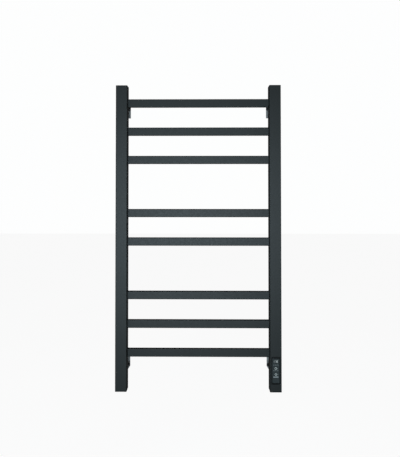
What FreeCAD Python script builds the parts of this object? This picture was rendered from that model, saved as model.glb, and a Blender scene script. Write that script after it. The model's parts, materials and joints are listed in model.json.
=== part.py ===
import FreeCAD, Part
import math
import os
import re
import Sketcher

# Wall-hung ladder towel warmer: two box-section posts, eight flat rungs in groups of three, two
# and three, four wall brackets, a dry heating cable inside the tubes and a control unit in the
# foot of the right post.
# Row frame: origin at the centre of the four wall plates, on the wall plane. +X runs to the
# right seen from the room, +Y into the wall and +Z up, so the front faces -Y.

SIZES = {
    # whole rack
    "rack_width": 502,
    "rack_height": 927,
    "wall_gap": 45,
    # fits: play in close and loose holes, and how far a through cut passes the material
    "close_play": 0.05,
    "loose_play": 0.1,
    "overrun": 1,
    # posts and their end caps
    "post_width": 35,
    "post_depth": 35,
    "post_wall": 1.5,
    "post_corner": 2,
    "cap_flange": 2,
    "cap_plug": 12,
    "cap_play": 0.2,
    "cap_wall": 1.5,
    "cap_edge": 0.8,
    # rungs
    "rung_face": 25,
    "rung_depth": 12,
    "rung_wall": 1.2,
    "rung_corner": 2,
    "rung_setback": 18,
    "lowest_rung": 111.6,
    "rung_pitch": 87.3,
    "group_step": 163.5,
    "port_width": 6,
    "port_length": 17,
    # wall brackets
    "bracket_inset": 66,
    "plate_width": 35,
    "plate_length": 48,
    "plate_thick": 4,
    "plate_cut_across": 6,
    "plate_cut_along": 10,
    "plate_edge": 0.6,
    "wall_screw_offset": 15,
    "wall_screw_radius": 2.5,
    "wall_screw_sink": 2,
    "bar_side": 16,
    "bar_end_gap": 2,
    "bar_edge": 1,
    "bar_screw_radius": 2.5,
    "bar_screw_head": 4.5,
    "bar_screw_sink": 2,
    "bar_screw_reach": 16,
    "bar_screw_clear": 2,
    "socket_side": 24,
    "socket_hole": 17,
    "socket_length": 25,
    "socket_edge": 1,
    "lock_radius": 2.5,
    "lock_head_radius": 4,
    "lock_head_length": 6,
    "lock_head_reach": 21.5,
    # window of the control unit, its frame and its panel
    "window_height": 65,
    "window_width": 27,
    "window_length": 82.4,
    "bezel_width": 26.6,
    "bezel_length": 82,
    "bezel_depth": 5,
    "bezel_edge": 0.4,
    "bezel_opening_width": 21.8,
    "bezel_opening_length": 73.2,
    "bezel_lip": 1.2,
    "skirt_width": 22.6,
    "skirt_length": 77.8,
    "skirt_depth": 3,
    "panel_drop": 1,
    "panel_width": 21.4,
    "panel_length": 72.8,
    "panel_recess": 1,
    "panel_thick": 2,
    "panel_edge": 0.3,
    "gasket_thick": 0.5,
    "gasket_play": 0.2,
    # what shows on the panel, measured up from the panel's middle
    "display_rise": 27.5,
    "display_width": 16.5,
    "display_length": 9,
    "display_play": 0.1,
    "lens_thick": 1.8,
    "upper_marks_rise": 17.6,
    "lower_marks_rise": 0.9,
    "mark_pitch": 6,
    "mark_radius": 0.9,
    "timer_rise": 7.6,
    "power_rise": -10.2,
    "bar_light_rise": -18.2,
    "bar_light_width": 15.6,
    "bar_light_length": 2.4,
    # push buttons and their switches, depths measured from the post's front face
    "button_radius": 4.5,
    "button_play": 0.3,
    "button_front": 0.4,
    "button_edge": 0.5,
    "button_flange_radius": 5.7,
    "button_flange_front": 3.2,
    "button_flange_back": 4.2,
    "button_stem_radius": 1.5,
    "stem_back": 5,
    "plunger_radius": 1.7,
    "plunger_back": 7,
    "switch_side": 6.2,
    "switch_front": 6,
    "switch_bore_radius": 2,
    "switch_bore_back": 8.2,
    # circuit board and what it carries
    "board_front": 10,
    "board_thick": 1.6,
    "board_width": 20,
    "board_length": 70,
    "guide_back": 8.4,
    "led_side": 1.6,
    "led_height": 1.4,
    "display_block_width": 15.5,
    "display_block_height": 6.8,
    "display_block_length": 8.6,
    "relay_width": 15,
    "relay_depth": 10.4,
    "relay_length": 19,
    "relay_rise": 20,
    "supply_width": 17,
    "supply_depth": 9,
    "supply_length": 18,
    "supply_rise": -1,
    "terminal_width": 18,
    "terminal_depth": 11.4,
    "terminal_length": 12,
    "terminal_rise": -20,
    "terminal_pitch": 6,
    "terminal_entry_radius": 1.2,
    "terminal_entry_depth": 5,
    "terminal_screw_radius": 1.5,
    "terminal_screw_height": 0.8,
    # housing behind the bezel
    "housing_width": 25.6,
    "housing_length": 80.8,
    "housing_back": 26,
    "housing_wall": 1.2,
    "boss_radius": 3,
    "housing_screw_radius": 1.5,
    "housing_screw_head": 3,
    "housing_screw_head_height": 1.8,
    "housing_screw_reach": 8,
    "upper_boss_rise": 34,
    "lower_boss_rise": -17,
    "grommet_width": 8,
    "grommet_depth": 14,
    "grommet_height": 4,
    "grommet_rim": 1,
    "grommet_middle": 15.5,
    "supply_lane": 19,
    "return_lane": 12,
    # heating cable
    "cable_radius": 1.6,
    "cable_bend": 14,
    "cable_end_rise": 36.5,
    "cable_clear_rise": 49,
    "loop_foot_rise": 64.5,
    "loop_top_rise": 79.5,
    "loop_outward": 7,
    "loop_inward": 6,
    "return_depth": 10,
    "return_turn": 50,
    "return_shift": 40,
    "return_lane_high": 74,
    "return_lane_low": 54,
    # thermal cut-out
    "cutout_width": 7,
    "cutout_depth": 5,
    "cutout_length": 20,
    "cutout_height": 165,
    # earth bond on the back wall of the right post
    "earth_side": 6,
    "earth_rise": 46,
    "earth_screw_radius": 2,
    "earth_head_radius": 3.5,
    "earth_head_height": 2.2,
    "earth_screw_reach": 6,
    "earth_nut_height": 3,
    "tag_width": 9,
    "tag_length": 10,
    "tag_thick": 0.8,
    "barrel_radius": 1.4,
    "barrel_length": 6,
    "barrel_end": 1,
    "lead_grip": 4,
    "lead_radius": 0.8,
    "lead_bend": 3.5,
    "lead_end": 19.5,
    "lead_hole_radius": 1.6,
    # supply cable gland in the back of the right post
    "gland_height": 27,
    "gland_bore_radius": 3.8,
    "gland_neck_radius": 6,
    "gland_neck_reach": 7,
    "gland_flange_radius": 9,
    "gland_flange_thick": 3,
    "gland_nose_radius": 6.5,
    "gland_nose_length": 6,
    "gland_edge": 0.6,
    "gland_nut_height": 3.5,
    "gland_nut_across": 15,
    "gland_play": 0.05,
    "gland_seal_radius": 8,
    "gland_seal_thick": 1,
}

# rungs from the top down: pitches and group steps above the lowest one
RUNG_STEPS = {
    "rung_1": (5, 2),
    "rung_2": (4, 2),
    "rung_3": (3, 2),
    "rung_4": (3, 1),
    "rung_5": (2, 1),
    "rung_6": (2, 0),
    "rung_7": (1, 0),
    "rung_8": (0, 0),
}

POST_X = "(rack_width - post_width) / 2"
POST_FRONT = "-(wall_gap + post_depth)"
POST_MIDDLE = "-(wall_gap + post_depth / 2)"
RUNG_MIDDLE = "(-wall_gap - post_depth + rung_setback + rung_depth / 2)"
BRACKET_Z = "(rack_height / 2 - bracket_inset)"
WINDOW_Z = "(window_height - rack_height / 2)"
PANEL_Z = "(window_height - panel_drop - rack_height / 2)"
GLAND_Z = "(gland_height - rack_height / 2)"
MARK_ROWS = ("upper_marks_rise", "lower_marks_rise")
MARK_COLUMNS = ("-mark_pitch", "0", "mark_pitch")
BOSS_RISES = ("upper_boss_rise", "lower_boss_rise")

ALONG_X = FreeCAD.Rotation(FreeCAD.Vector(0, 1, 0), 90)
ALONG_Y = FreeCAD.Rotation(FreeCAD.Vector(1, 0, 0), -90)
UPSIDE_DOWN = FreeCAD.Rotation(FreeCAD.Vector(0, 1, 0), 180)
TOP_TO_BOTTOM = FreeCAD.Rotation(FreeCAD.Vector(1, 0, 0), 180)
TINY = 1e-6

doc = FreeCAD.newDocument("TowelWarmerRack")
sheet = doc.addObject("Spreadsheet::Sheet", "Sizes")
for row, (size_name, size) in enumerate(SIZES.items(), start=1):
    sheet.set("A%d" % row, size_name)
    sheet.set("B%d" % row, str(size))
    sheet.setAlias("B%d" % row, size_name)
doc.recompute()

subparts = []


# ---------------------------------------------------------------- sizes and placing

def cells(text):
    """An expression whose size names point at the sheet's cells."""
    def through_sheet(word):
        return "Sizes." + word.group() if word.group() in SIZES else word.group()
    return re.sub(r"[a-z][a-z_0-9]*", through_sheet, text)


def amount(text):
    """The number that an expression of size names comes to."""
    return float(sheet.evalExpression(cells(text)))


def bind(thing, **properties):
    for name, text in properties.items():
        thing.setExpression(name, cells(text))


def place(thing, x="0", y="0", z="0", turn=None):
    """Turn a piece about its own origin and put that origin at a point."""
    if turn:
        thing.Placement = FreeCAD.Placement(FreeCAD.Vector(), turn)
    for axis, text in zip("xyz", (x, y, z)):
        thing.setExpression("Placement.Base." + axis, cells(text))
    return thing


def place_in_control(thing):
    """Put a piece's origin on the post's front face at the middle of the panel."""
    return place(thing, POST_X, POST_FRONT, PANEL_Z)


def keep(thing, label):
    """List a finished piece as a sub-part under its own label."""
    thing.Label = label
    subparts.append(thing)
    return thing


# ---------------------------------------------------------------- sketches and features

def new_body(name):
    return doc.addObject("PartDesign::Body", name)


def new_sketch(body, plane, offset="0"):
    """A sketch on one of the body's origin planes, moved along that plane's normal."""
    sketch = body.newObject("Sketcher::SketchObject", body.Name + "_sketch")
    support = next(f for f in body.Origin.OriginFeatures if f.Role == plane)
    sketch.AttachmentSupport = [(support, "")]
    sketch.MapMode = "FlatFace"
    sketch.setExpression("AttachmentOffset.Base.z", cells(offset))
    return sketch


def pin_down(sketch, item, end, x, y):
    """Fix one point of a sketch item at the place that two expressions give."""
    for kind, text in (("DistanceX", x), ("DistanceY", y)):
        rule = sketch.addConstraint(Sketcher.Constraint(kind, -1, 1, item, end, amount(text)))
        sketch.setExpression("Constraints[%d]" % rule, cells(text))


def draw_outline(sketch, corners):
    """Closed outline of straight lines through corners given as pairs of expressions."""
    points = [FreeCAD.Vector(amount(x), amount(y), 0) for x, y in corners]
    first = sketch.GeometryCount
    for start, end in zip(points, points[1:] + points[:1]):
        sketch.addGeometry(Part.LineSegment(start, end), False)
    for i, (x, y) in enumerate(corners):
        following = first + (i + 1) % len(corners)
        sketch.addConstraint(Sketcher.Constraint("Coincident", first + i, 2, following, 1))
        pin_down(sketch, first + i, 1, x, y)


def draw_rectangle(sketch, width, height, x="0", y="0"):
    left, right = "%s - (%s) / 2" % (x, width), "%s + (%s) / 2" % (x, width)
    low, high = "%s - (%s) / 2" % (y, height), "%s + (%s) / 2" % (y, height)
    draw_outline(sketch, [(left, low), (right, low), (right, high), (left, high)])


def draw_circle(sketch, radius, x="0", y="0"):
    centre = FreeCAD.Vector(amount(x), amount(y), 0)
    item = sketch.addGeometry(Part.Circle(centre, FreeCAD.Vector(0, 0, 1), amount(radius)), False)
    rule = sketch.addConstraint(Sketcher.Constraint("Radius", item, amount(radius)))
    sketch.setExpression("Constraints[%d]" % rule, cells(radius))
    pin_down(sketch, item, 3, x, y)


def pad(body, sketch, length, side="One side", backwards=False):
    """Extrude a sketch along its plane's normal, both ways from it, or backwards."""
    feature = body.newObject("PartDesign::Pad", body.Name + "_pad")
    feature.Profile = sketch
    feature.SideType = side
    feature.Reversed = backwards
    bind(feature, Length=length)
    doc.recompute()
    return feature


def pocket(body, sketch, length, side="One side", forwards=False):
    """Cut a sketch against its plane's normal, both ways from it, or forwards along it."""
    before = body.Shape.Volume
    feature = body.newObject("PartDesign::Pocket", body.Name + "_pocket")
    feature.Profile = sketch
    feature.SideType = side
    feature.Reversed = forwards
    bind(feature, Length=length)
    doc.recompute()
    if body.Shape.Volume > before - TINY:
        raise RuntimeError("a pocket cut nothing from " + body.Name)
    return feature


def revolve(body, corners):
    """Turn an outline of (radius, place along Y) corners about the body's Y axis."""
    sketch = new_sketch(body, "XY_Plane")
    draw_outline(sketch, corners)
    feature = body.newObject("PartDesign::Revolution", body.Name + "_revolution")
    feature.Profile = sketch
    feature.ReferenceAxis = (sketch, ["V_Axis"])
    feature.Angle = 360
    doc.recompute()
    return feature


def edge_names(shape, chosen):
    return ["Edge%d" % (i + 1) for i, edge in enumerate(shape.Edges) if chosen(edge)]


def dress(body, kind, size, chosen):
    """Fillet or chamfer the chosen edges of the body's last feature."""
    base = body.Tip
    feature = body.newObject("PartDesign::" + kind, body.Name + "_" + kind.lower())
    feature.Base = (base, edge_names(base.Shape, chosen))
    bind(feature, **{"Radius" if kind == "Fillet" else "Size": size})
    doc.recompute()
    return feature


def runs_along(axis, least=0.0):
    """A test for straight edges along one axis that are longer than a least length."""
    def test(edge):
        if not isinstance(edge.Curve, Part.Line) or edge.Length < least:
            return False
        return abs(edge.Curve.Direction[axis]) > 1 - TINY
    return test


def lies_at(axis, place_along):
    """A test for edges that lie whole in the plane at one place along an axis."""
    def test(edge):
        box = edge.BoundBox
        low = (box.XMin, box.YMin, box.ZMin)[axis]
        high = (box.XMax, box.YMax, box.ZMax)[axis]
        return abs(low - place_along) < 0.001 and abs(high - place_along) < 0.001
    return test


# ---------------------------------------------------------------- primitives

def block(name, width, depth, height, x="0", y="0", z="0"):
    """Box with its middle at a point."""
    box = doc.addObject("Part::Box", name)
    bind(box, Length=width, Width=depth, Height=height)
    corner = ["%s - (%s) / 2" % pair for pair in ((x, width), (y, depth), (z, height))]
    return place(box, *corner)


def rod(name, radius, length, x="0", y="0", z="0", turn=None):
    """Cylinder from a point along +Z, or along another axis when turned."""
    cylinder = doc.addObject("Part::Cylinder", name)
    bind(cylinder, Radius=radius, Height=length)
    return place(cylinder, x, y, z, turn)


def join(name, pieces):
    fuse = doc.addObject("Part::MultiFuse", name)
    fuse.Shapes = pieces
    return fuse


def cut(name, base, tool):
    result = doc.addObject("Part::Cut", name)
    result.Base = base
    result.Tool = tool
    return result


def gather(name, pieces):
    """Group of separate solids that count as one sub-part."""
    group = doc.addObject("Part::Compound", name)
    group.Links = pieces
    return group


def soften(name, base, radius):
    """Round every edge of a primitive."""
    doc.recompute()
    fillet = doc.addObject("Part::Fillet", name)
    fillet.Base = base
    size = amount(radius)
    fillet.Edges = [(i + 1, size, size) for i in range(len(base.Shape.Edges))]
    return fillet


def wire_path(points, largest_bend):
    """Straight runs through the points, joined by tangent arcs as large as the runs allow."""
    edges = []
    at = points[0]
    for before, corner, after in zip(points, points[1:], points[2:]):
        arriving = (corner - before).normalize()
        leaving = (after - corner).normalize()
        turn = arriving.getAngle(leaving)
        shorter = min((corner - before).Length, (after - corner).Length)
        bend = min(largest_bend, 0.45 * shorter / math.tan(turn / 2))
        setback = bend * math.tan(turn / 2)
        start = corner - arriving * setback
        end = corner + leaving * setback
        inward = (leaving - arriving).normalize()
        middle = corner + inward * (bend / math.cos(turn / 2) - bend)
        edges.append(Part.LineSegment(at, start).toShape())
        edges.append(Part.Arc(start, middle, end).toShape())
        at = end
    edges.append(Part.LineSegment(at, points[-1]).toShape())
    return Part.Wire(edges)


def swept_rod(name, points, radius, largest_bend):
    """Round rod along a path, checked against its section times its length."""
    path = wire_path(points, largest_bend)
    direction = points[1] - points[0]
    section = Part.Wire(Part.Circle(points[0], direction, radius).toShape())
    solid = path.makePipeShell([section], True, False)
    expected = math.pi * radius**2 * path.Length
    if abs(solid.Volume / expected - 1) > 0.001:
        raise RuntimeError("the sweep of %s has the wrong volume" % name)
    feature = doc.addObject("Part::Feature", name)
    feature.Shape = solid
    feature.Placement = FreeCAD.Placement()
    return feature


# ---------------------------------------------------------------- frame of tubes

def rung_z(name):
    pitches, steps = RUNG_STEPS[name]
    return "(lowest_rung + %d * rung_pitch + %d * group_step - rack_height / 2)" % (pitches, steps)


def box_tube(name, plane, across, along, length, wall, corner):
    """Rectangular tube with rounded long edges, centred on its origin."""
    body = new_body(name)
    outer = new_sketch(body, plane)
    draw_rectangle(outer, across, along)
    pad(body, outer, length, side="Symmetric")
    run = {"XY_Plane": 2, "YZ_Plane": 0}[plane]
    long_edge = runs_along(run, least=amount(length) * 0.9)
    dress(body, "Fillet", corner, long_edge)
    inner = new_sketch(body, plane)
    draw_rectangle(inner, "%s - 2 * %s" % (across, wall), "%s - 2 * %s" % (along, wall))
    pocket(body, inner, length + " + overrun", side="Symmetric")
    half_across = amount("%s / 2 - %s" % (across, wall))

    def inner_corner(edge):
        middle = edge.CenterOfMass
        offset = middle.x if plane == "XY_Plane" else middle.y
        return long_edge(edge) and abs(abs(offset) - half_across) < 0.001

    dress(body, "Fillet", "%s - %s" % (corner, wall), inner_corner)
    return body


def build_post(name, side, inner_is_right):
    """Post with a port for the heating cable behind the end of each rung."""
    body = box_tube(name, "XY_Plane", "post_width", "post_depth",
                    "rack_height - 2 * cap_flange", "post_wall", "post_corner")
    ports = new_sketch(body, "YZ_Plane")
    for rung in RUNG_STEPS:
        draw_rectangle(ports, "port_width", "port_length",
                       "%s - %s" % (RUNG_MIDDLE, POST_MIDDLE), rung_z(rung))
    pocket(body, ports, "post_width / 2 + overrun", forwards=inner_is_right)
    place(body, side + POST_X, POST_MIDDLE)
    return keep(body, name)


def open_for_control(body):
    """Window, gland hole and screw holes that only the right post has."""
    window = new_sketch(body, "XZ_Plane")
    draw_rectangle(window, "window_width", "window_length", y=WINDOW_Z)
    pocket(body, window, "post_depth / 2 + overrun", forwards=True)
    holes = new_sketch(body, "XZ_Plane")
    draw_circle(holes, "gland_neck_radius + gland_play", y=GLAND_Z)
    for rise in BOSS_RISES:
        draw_circle(holes, "housing_screw_radius + loose_play", y="%s + %s" % (PANEL_Z, rise))
    draw_circle(holes, "earth_screw_radius + loose_play", "earth_side",
                "%s + earth_rise" % PANEL_Z)
    pocket(body, holes, "post_depth / 2 + overrun")


def build_rung(name):
    body = box_tube(name, "YZ_Plane", "rung_depth", "rung_face",
                    "rack_width - 2 * post_width", "rung_wall", "rung_corner")
    place(body, "0", RUNG_MIDDLE, rung_z(name))
    return keep(body, name)


def build_cap(name, side, at_top):
    """Push-in cap: a flange over the tube's end and a hollow plug inside it."""
    body = new_body(name)
    flange = new_sketch(body, "XY_Plane")
    draw_rectangle(flange, "post_width", "post_depth")
    pad(body, flange, "cap_flange")
    dress(body, "Fillet", "post_corner", runs_along(2))
    dress(body, "Fillet", "cap_edge", lies_at(2, amount("cap_flange")))
    plug = new_sketch(body, "XY_Plane")
    across = "post_width - 2 * post_wall - 2 * cap_play"
    along = "post_depth - 2 * post_wall - 2 * cap_play"
    draw_rectangle(plug, across, along)
    pad(body, plug, "cap_plug", backwards=True)
    hollow = new_sketch(body, "XY_Plane")
    draw_rectangle(hollow, across + " - 2 * cap_wall", along + " - 2 * cap_wall")
    pocket(body, hollow, "cap_plug")
    end = "(rack_height / 2 - cap_flange)"
    place(body, side + POST_X, POST_MIDDLE, end if at_top else "-" + end,
          None if at_top else TOP_TO_BOTTOM)
    return keep(body, name)


# ---------------------------------------------------------------- wall brackets

def build_wall_plate(name, side, at_top):
    """Wall plate with two wall screw holes and a sunk hole for the bar's own screw."""
    body = new_body(name)
    face = new_sketch(body, "XZ_Plane")
    half_width, half_length = "plate_width / 2", "plate_length / 2"
    draw_outline(face, [
        ("-" + half_width, "-" + half_length),
        (half_width, "-" + half_length),
        (half_width, half_length + " - plate_cut_along"),
        (half_width + " - plate_cut_across", half_length),
        ("-%s + plate_cut_across" % half_width, half_length),
        ("-" + half_width, half_length + " - plate_cut_along"),
    ])
    pad(body, face, "plate_thick")
    front = -amount("plate_thick")
    dress(body, "Chamfer", "plate_edge", lies_at(1, front))
    holes = new_sketch(body, "XZ_Plane")
    for rise in ("wall_screw_offset", "-wall_screw_offset"):
        draw_circle(holes, "wall_screw_radius", y=rise)
    draw_circle(holes, "bar_screw_radius + close_play")
    pocket(body, holes, "plate_thick + overrun", forwards=True)

    def screw_mouth(edge):
        round_edge = isinstance(edge.Curve, Part.Circle)
        return round_edge and lies_at(1, front)(edge) and abs(edge.CenterOfMass.z) > 1

    def bar_screw_mouth(edge):
        round_edge = isinstance(edge.Curve, Part.Circle)
        return round_edge and lies_at(1, 0)(edge) and abs(edge.CenterOfMass.z) < 1

    dress(body, "Chamfer", "wall_screw_sink", screw_mouth)
    dress(body, "Chamfer", "bar_screw_sink", bar_screw_mouth)
    place(body, side + POST_X, "0", BRACKET_Z if at_top else "-" + BRACKET_Z,
          None if at_top else UPSIDE_DOWN)
    return keep(body, name)


def build_standoff_bar(name, side, up):
    """Square bar that stands out from the wall plate and enters the post's socket."""
    body = new_body(name)
    section = new_sketch(body, "XZ_Plane", "plate_thick")
    draw_rectangle(section, "bar_side", "bar_side")
    pad(body, section, "wall_gap - plate_thick - bar_end_gap")
    dress(body, "Chamfer", "bar_edge", lies_at(1, -amount("wall_gap - bar_end_gap")))
    thread = new_sketch(body, "XZ_Plane", "plate_thick")
    draw_circle(thread, "bar_screw_radius + close_play")
    pocket(body, thread, "bar_screw_reach", forwards=True)
    place(body, side + POST_X, "0", up + BRACKET_Z)
    return keep(body, name)


def build_post_socket(name, side, up):
    """Square socket welded to the back of the post, with a side hole for its lock screw."""
    body = new_body(name)
    section = new_sketch(body, "XZ_Plane")
    draw_rectangle(section, "socket_side", "socket_side")
    pad(body, section, "socket_length", backwards=True)
    dress(body, "Fillet", "socket_edge", runs_along(1))
    hollow = new_sketch(body, "XZ_Plane")
    draw_rectangle(hollow, "socket_hole", "socket_hole")
    pocket(body, hollow, "socket_length + overrun")
    side_hole = new_sketch(body, "YZ_Plane")
    draw_circle(side_hole, "lock_radius + close_play", "socket_length / 2")
    pocket(body, side_hole, "socket_side / 2 + overrun", forwards=side == "-")
    place(body, side + POST_X, "-wall_gap", up + BRACKET_Z)
    return keep(body, name)


def build_bar_screws():
    """Countersunk screw from behind each wall plate into its standoff bar."""
    screws = []
    for side in ("-", ""):
        for up in ("-", ""):
            head = doc.addObject("Part::Cone", "bar_screw_head")
            bind(head, Radius1="bar_screw_head", Radius2="bar_screw_radius",
                 Height="bar_screw_head - bar_screw_radius")
            place(head, turn=ALONG_Y.inverted())
            shank = rod("bar_screw_shank", "bar_screw_radius",
                        "plate_thick + bar_screw_reach - bar_screw_clear",
                        turn=ALONG_Y.inverted())
            screw = join("bar_screw", [head, shank])
            screws.append(place(screw, side + POST_X, "0", up + BRACKET_Z))
    return keep(gather("standoff_screws", screws), "standoff_screws")


def build_lock_screws():
    """Thumb screw through the inboard side of each socket, its tip on the bar."""
    screws = []
    for side, turn in (("-", ALONG_X), ("", ALONG_X.inverted())):
        for up in ("-", ""):
            inward = "" if side == "-" else "-"
            shank = rod("lock_shank", "lock_radius",
                        "lock_head_reach - lock_head_length - bar_side / 2",
                        inward + "(bar_side / 2)", turn=turn)
            head = rod("lock_head", "lock_head_radius", "lock_head_length",
                       inward + "(lock_head_reach - lock_head_length)", turn=turn)
            screw = join("lock_screw", [shank, head])
            screws.append(place(screw, side + POST_X, "-wall_gap + socket_length / 2",
                                up + BRACKET_Z))
    return keep(gather("lock_screws", screws), "lock_screws")


# ---------------------------------------------------------------- front of the control unit

def build_bezel():
    """Frame flush with the post's front, with a lip behind the panel and a rear skirt."""
    body = new_body("control_bezel")
    ring = new_sketch(body, "XZ_Plane")
    draw_rectangle(ring, "bezel_width", "bezel_length", y="panel_drop")
    pad(body, ring, "bezel_depth", backwards=True)
    dress(body, "Fillet", "bezel_edge", lies_at(1, 0))
    skirt = new_sketch(body, "XZ_Plane", "-bezel_depth")
    draw_rectangle(skirt, "skirt_width", "skirt_length", y="panel_drop")
    pad(body, skirt, "skirt_depth", backwards=True)
    seat = new_sketch(body, "XZ_Plane")
    draw_rectangle(seat, "bezel_opening_width", "bezel_opening_length")
    pocket(body, seat, "panel_recess + panel_thick + gasket_thick")
    through = new_sketch(body, "XZ_Plane")
    draw_rectangle(through, "bezel_opening_width - 2 * bezel_lip",
                   "bezel_opening_length - 2 * bezel_lip")
    pocket(body, through, "bezel_depth + skirt_depth + overrun")
    return keep(place_in_control(body), "control_bezel")


def build_panel():
    """Panel with openings for the lens, the light guides and the two buttons."""
    body = new_body("control_panel")
    plate = new_sketch(body, "XZ_Plane", "-panel_recess")
    draw_rectangle(plate, "panel_width", "panel_length")
    pad(body, plate, "panel_thick", backwards=True)
    dress(body, "Fillet", "panel_edge", lies_at(1, amount("panel_recess")))
    openings = new_sketch(body, "XZ_Plane", "-panel_recess")
    draw_rectangle(openings, "display_width", "display_length", y="display_rise")
    draw_rectangle(openings, "bar_light_width + 2 * display_play",
                   "bar_light_length + 2 * display_play", y="bar_light_rise")
    for rise in ("timer_rise", "power_rise"):
        draw_circle(openings, "button_radius + button_play", y=rise)
    for rise in MARK_ROWS:
        for column in MARK_COLUMNS:
            draw_circle(openings, "mark_radius + close_play", column, rise)
    pocket(body, openings, "panel_thick + overrun")
    return keep(place_in_control(body), "control_panel")


def build_gasket():
    """Thin seal between the panel and the bezel's lip."""
    body = new_body("panel_gasket")
    ring = new_sketch(body, "XZ_Plane", "-(panel_recess + panel_thick)")
    draw_rectangle(ring, "bezel_opening_width - 2 * gasket_play",
                   "bezel_opening_length - 2 * gasket_play")
    draw_rectangle(ring, "bezel_opening_width - 2 * bezel_lip",
                   "bezel_opening_length - 2 * bezel_lip")
    pad(body, ring, "gasket_thick", backwards=True)
    return keep(place_in_control(body), "panel_gasket")


def build_display():
    """Clear lens in the panel and the digit block behind it."""
    lens = new_body("display_lens")
    face = new_sketch(lens, "XZ_Plane", "-panel_recess")
    draw_rectangle(face, "display_width - 2 * display_play",
                   "display_length - 2 * display_play", y="display_rise")
    pad(lens, face, "lens_thick", backwards=True)
    keep(place_in_control(lens), "display_lens")
    digits = block("display_block", "display_block_width", "display_block_height",
                   "display_block_length", y="board_front - display_block_height / 2",
                   z="display_rise")
    keep(place_in_control(gather("display_module", [digits])), "display_module")


def build_light_guides():
    """Two rows of three round guides and one bar, with a light behind each."""
    guides, lights = [], []
    for rise in MARK_ROWS:
        for column in MARK_COLUMNS:
            guides.append(rod("guide", "mark_radius", "guide_back - panel_recess",
                              column, "panel_recess", rise, ALONG_Y))
            lights.append(block("led", "led_side", "led_height", "led_side", column,
                                "board_front - led_height / 2", rise))
    for column in ("-bar_light_width / 4", "bar_light_width / 4"):
        lights.append(block("led", "led_side", "led_height", "led_side", column,
                            "board_front - led_height / 2", "bar_light_rise"))
    keep(place_in_control(gather("indicator_guides", guides)), "indicator_guides")
    keep(place_in_control(gather("indicator_leds", lights)), "indicator_leds")
    bar = block("bar", "bar_light_width", "guide_back - panel_recess", "bar_light_length",
                y="(panel_recess + guide_back) / 2", z="bar_light_rise")
    keep(place_in_control(gather("bar_light_guide", [bar])), "bar_light_guide")


def build_button(name, rise):
    """Round button with a retaining flange behind the panel and a short stem."""
    body = new_body(name)
    revolve(body, [
        ("0", "button_front"),
        ("button_radius", "button_front"),
        ("button_radius", "button_flange_front"),
        ("button_flange_radius", "button_flange_front"),
        ("button_flange_radius", "button_flange_back"),
        ("button_stem_radius", "button_flange_back"),
        ("button_stem_radius", "stem_back"),
        ("0", "stem_back"),
    ])
    dress(body, "Fillet", "button_edge", lies_at(1, amount("button_front")))
    place(body, POST_X, POST_FRONT, "%s + %s" % (PANEL_Z, rise))
    return keep(body, name)


def build_switch(name, rise):
    """Tactile switch on the board, with a bore for its plunger."""
    body = new_body(name + "_switch")
    case = new_sketch(body, "XZ_Plane", "-switch_front")
    draw_rectangle(case, "switch_side", "switch_side")
    pad(body, case, "board_front - switch_front", backwards=True)
    bore = new_sketch(body, "XZ_Plane", "-switch_front")
    draw_circle(bore, "switch_bore_radius")
    pocket(body, bore, "switch_bore_back - switch_front")
    place(body, POST_X, POST_FRONT, "%s + %s" % (PANEL_Z, rise))
    keep(body, name + "_switch")
    plunger = rod(name + "_rod", "plunger_radius", "plunger_back - stem_back", y="stem_back",
                  turn=ALONG_Y)
    stem = gather(name + "_plunger", [plunger])
    place(stem, POST_X, POST_FRONT, "%s + %s" % (PANEL_Z, rise))
    keep(stem, name + "_plunger")


# ---------------------------------------------------------------- board and housing

def build_board():
    body = new_body("circuit_board")
    outline = new_sketch(body, "XZ_Plane", "-board_front")
    draw_rectangle(outline, "board_width", "board_length")
    pad(body, outline, "board_thick", backwards=True)
    keep(place_in_control(body), "circuit_board")
    behind = "board_front + board_thick + %s / 2"
    relay = block("relay_case", "relay_width", "relay_depth", "relay_length",
                  y=behind % "relay_depth", z="relay_rise")
    keep(place_in_control(soften("relay", relay, "panel_edge")), "relay")
    supply = block("supply_case", "supply_width", "supply_depth", "supply_length",
                   y=behind % "supply_depth", z="supply_rise")
    keep(place_in_control(soften("power_supply", supply, "panel_edge")), "power_supply")


def build_terminals():
    """Three-way terminal block behind the board, wires entering from the back."""
    back = "(board_front + board_thick + terminal_depth)"
    solid = block("terminal_case", "terminal_width", "terminal_depth", "terminal_length",
                  y=back + " - terminal_depth / 2", z="terminal_rise")
    entries, screws = [], []
    for column in ("-terminal_pitch", "0", "terminal_pitch"):
        entries.append(rod("entry", "terminal_entry_radius", "terminal_entry_depth + overrun", column,
                           back + " - terminal_entry_depth", "terminal_rise", ALONG_Y))
        screws.append(rod("terminal_screw", "terminal_screw_radius", "terminal_screw_height",
                          column, back + " - terminal_depth / 2",
                          "terminal_rise - terminal_length / 2 - terminal_screw_height"))
    terminal = cut("terminal_block", solid, join("entries", entries))
    keep(place_in_control(terminal), "terminal_block")
    keep(place_in_control(gather("terminal_screws", screws)), "terminal_screws")


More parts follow.
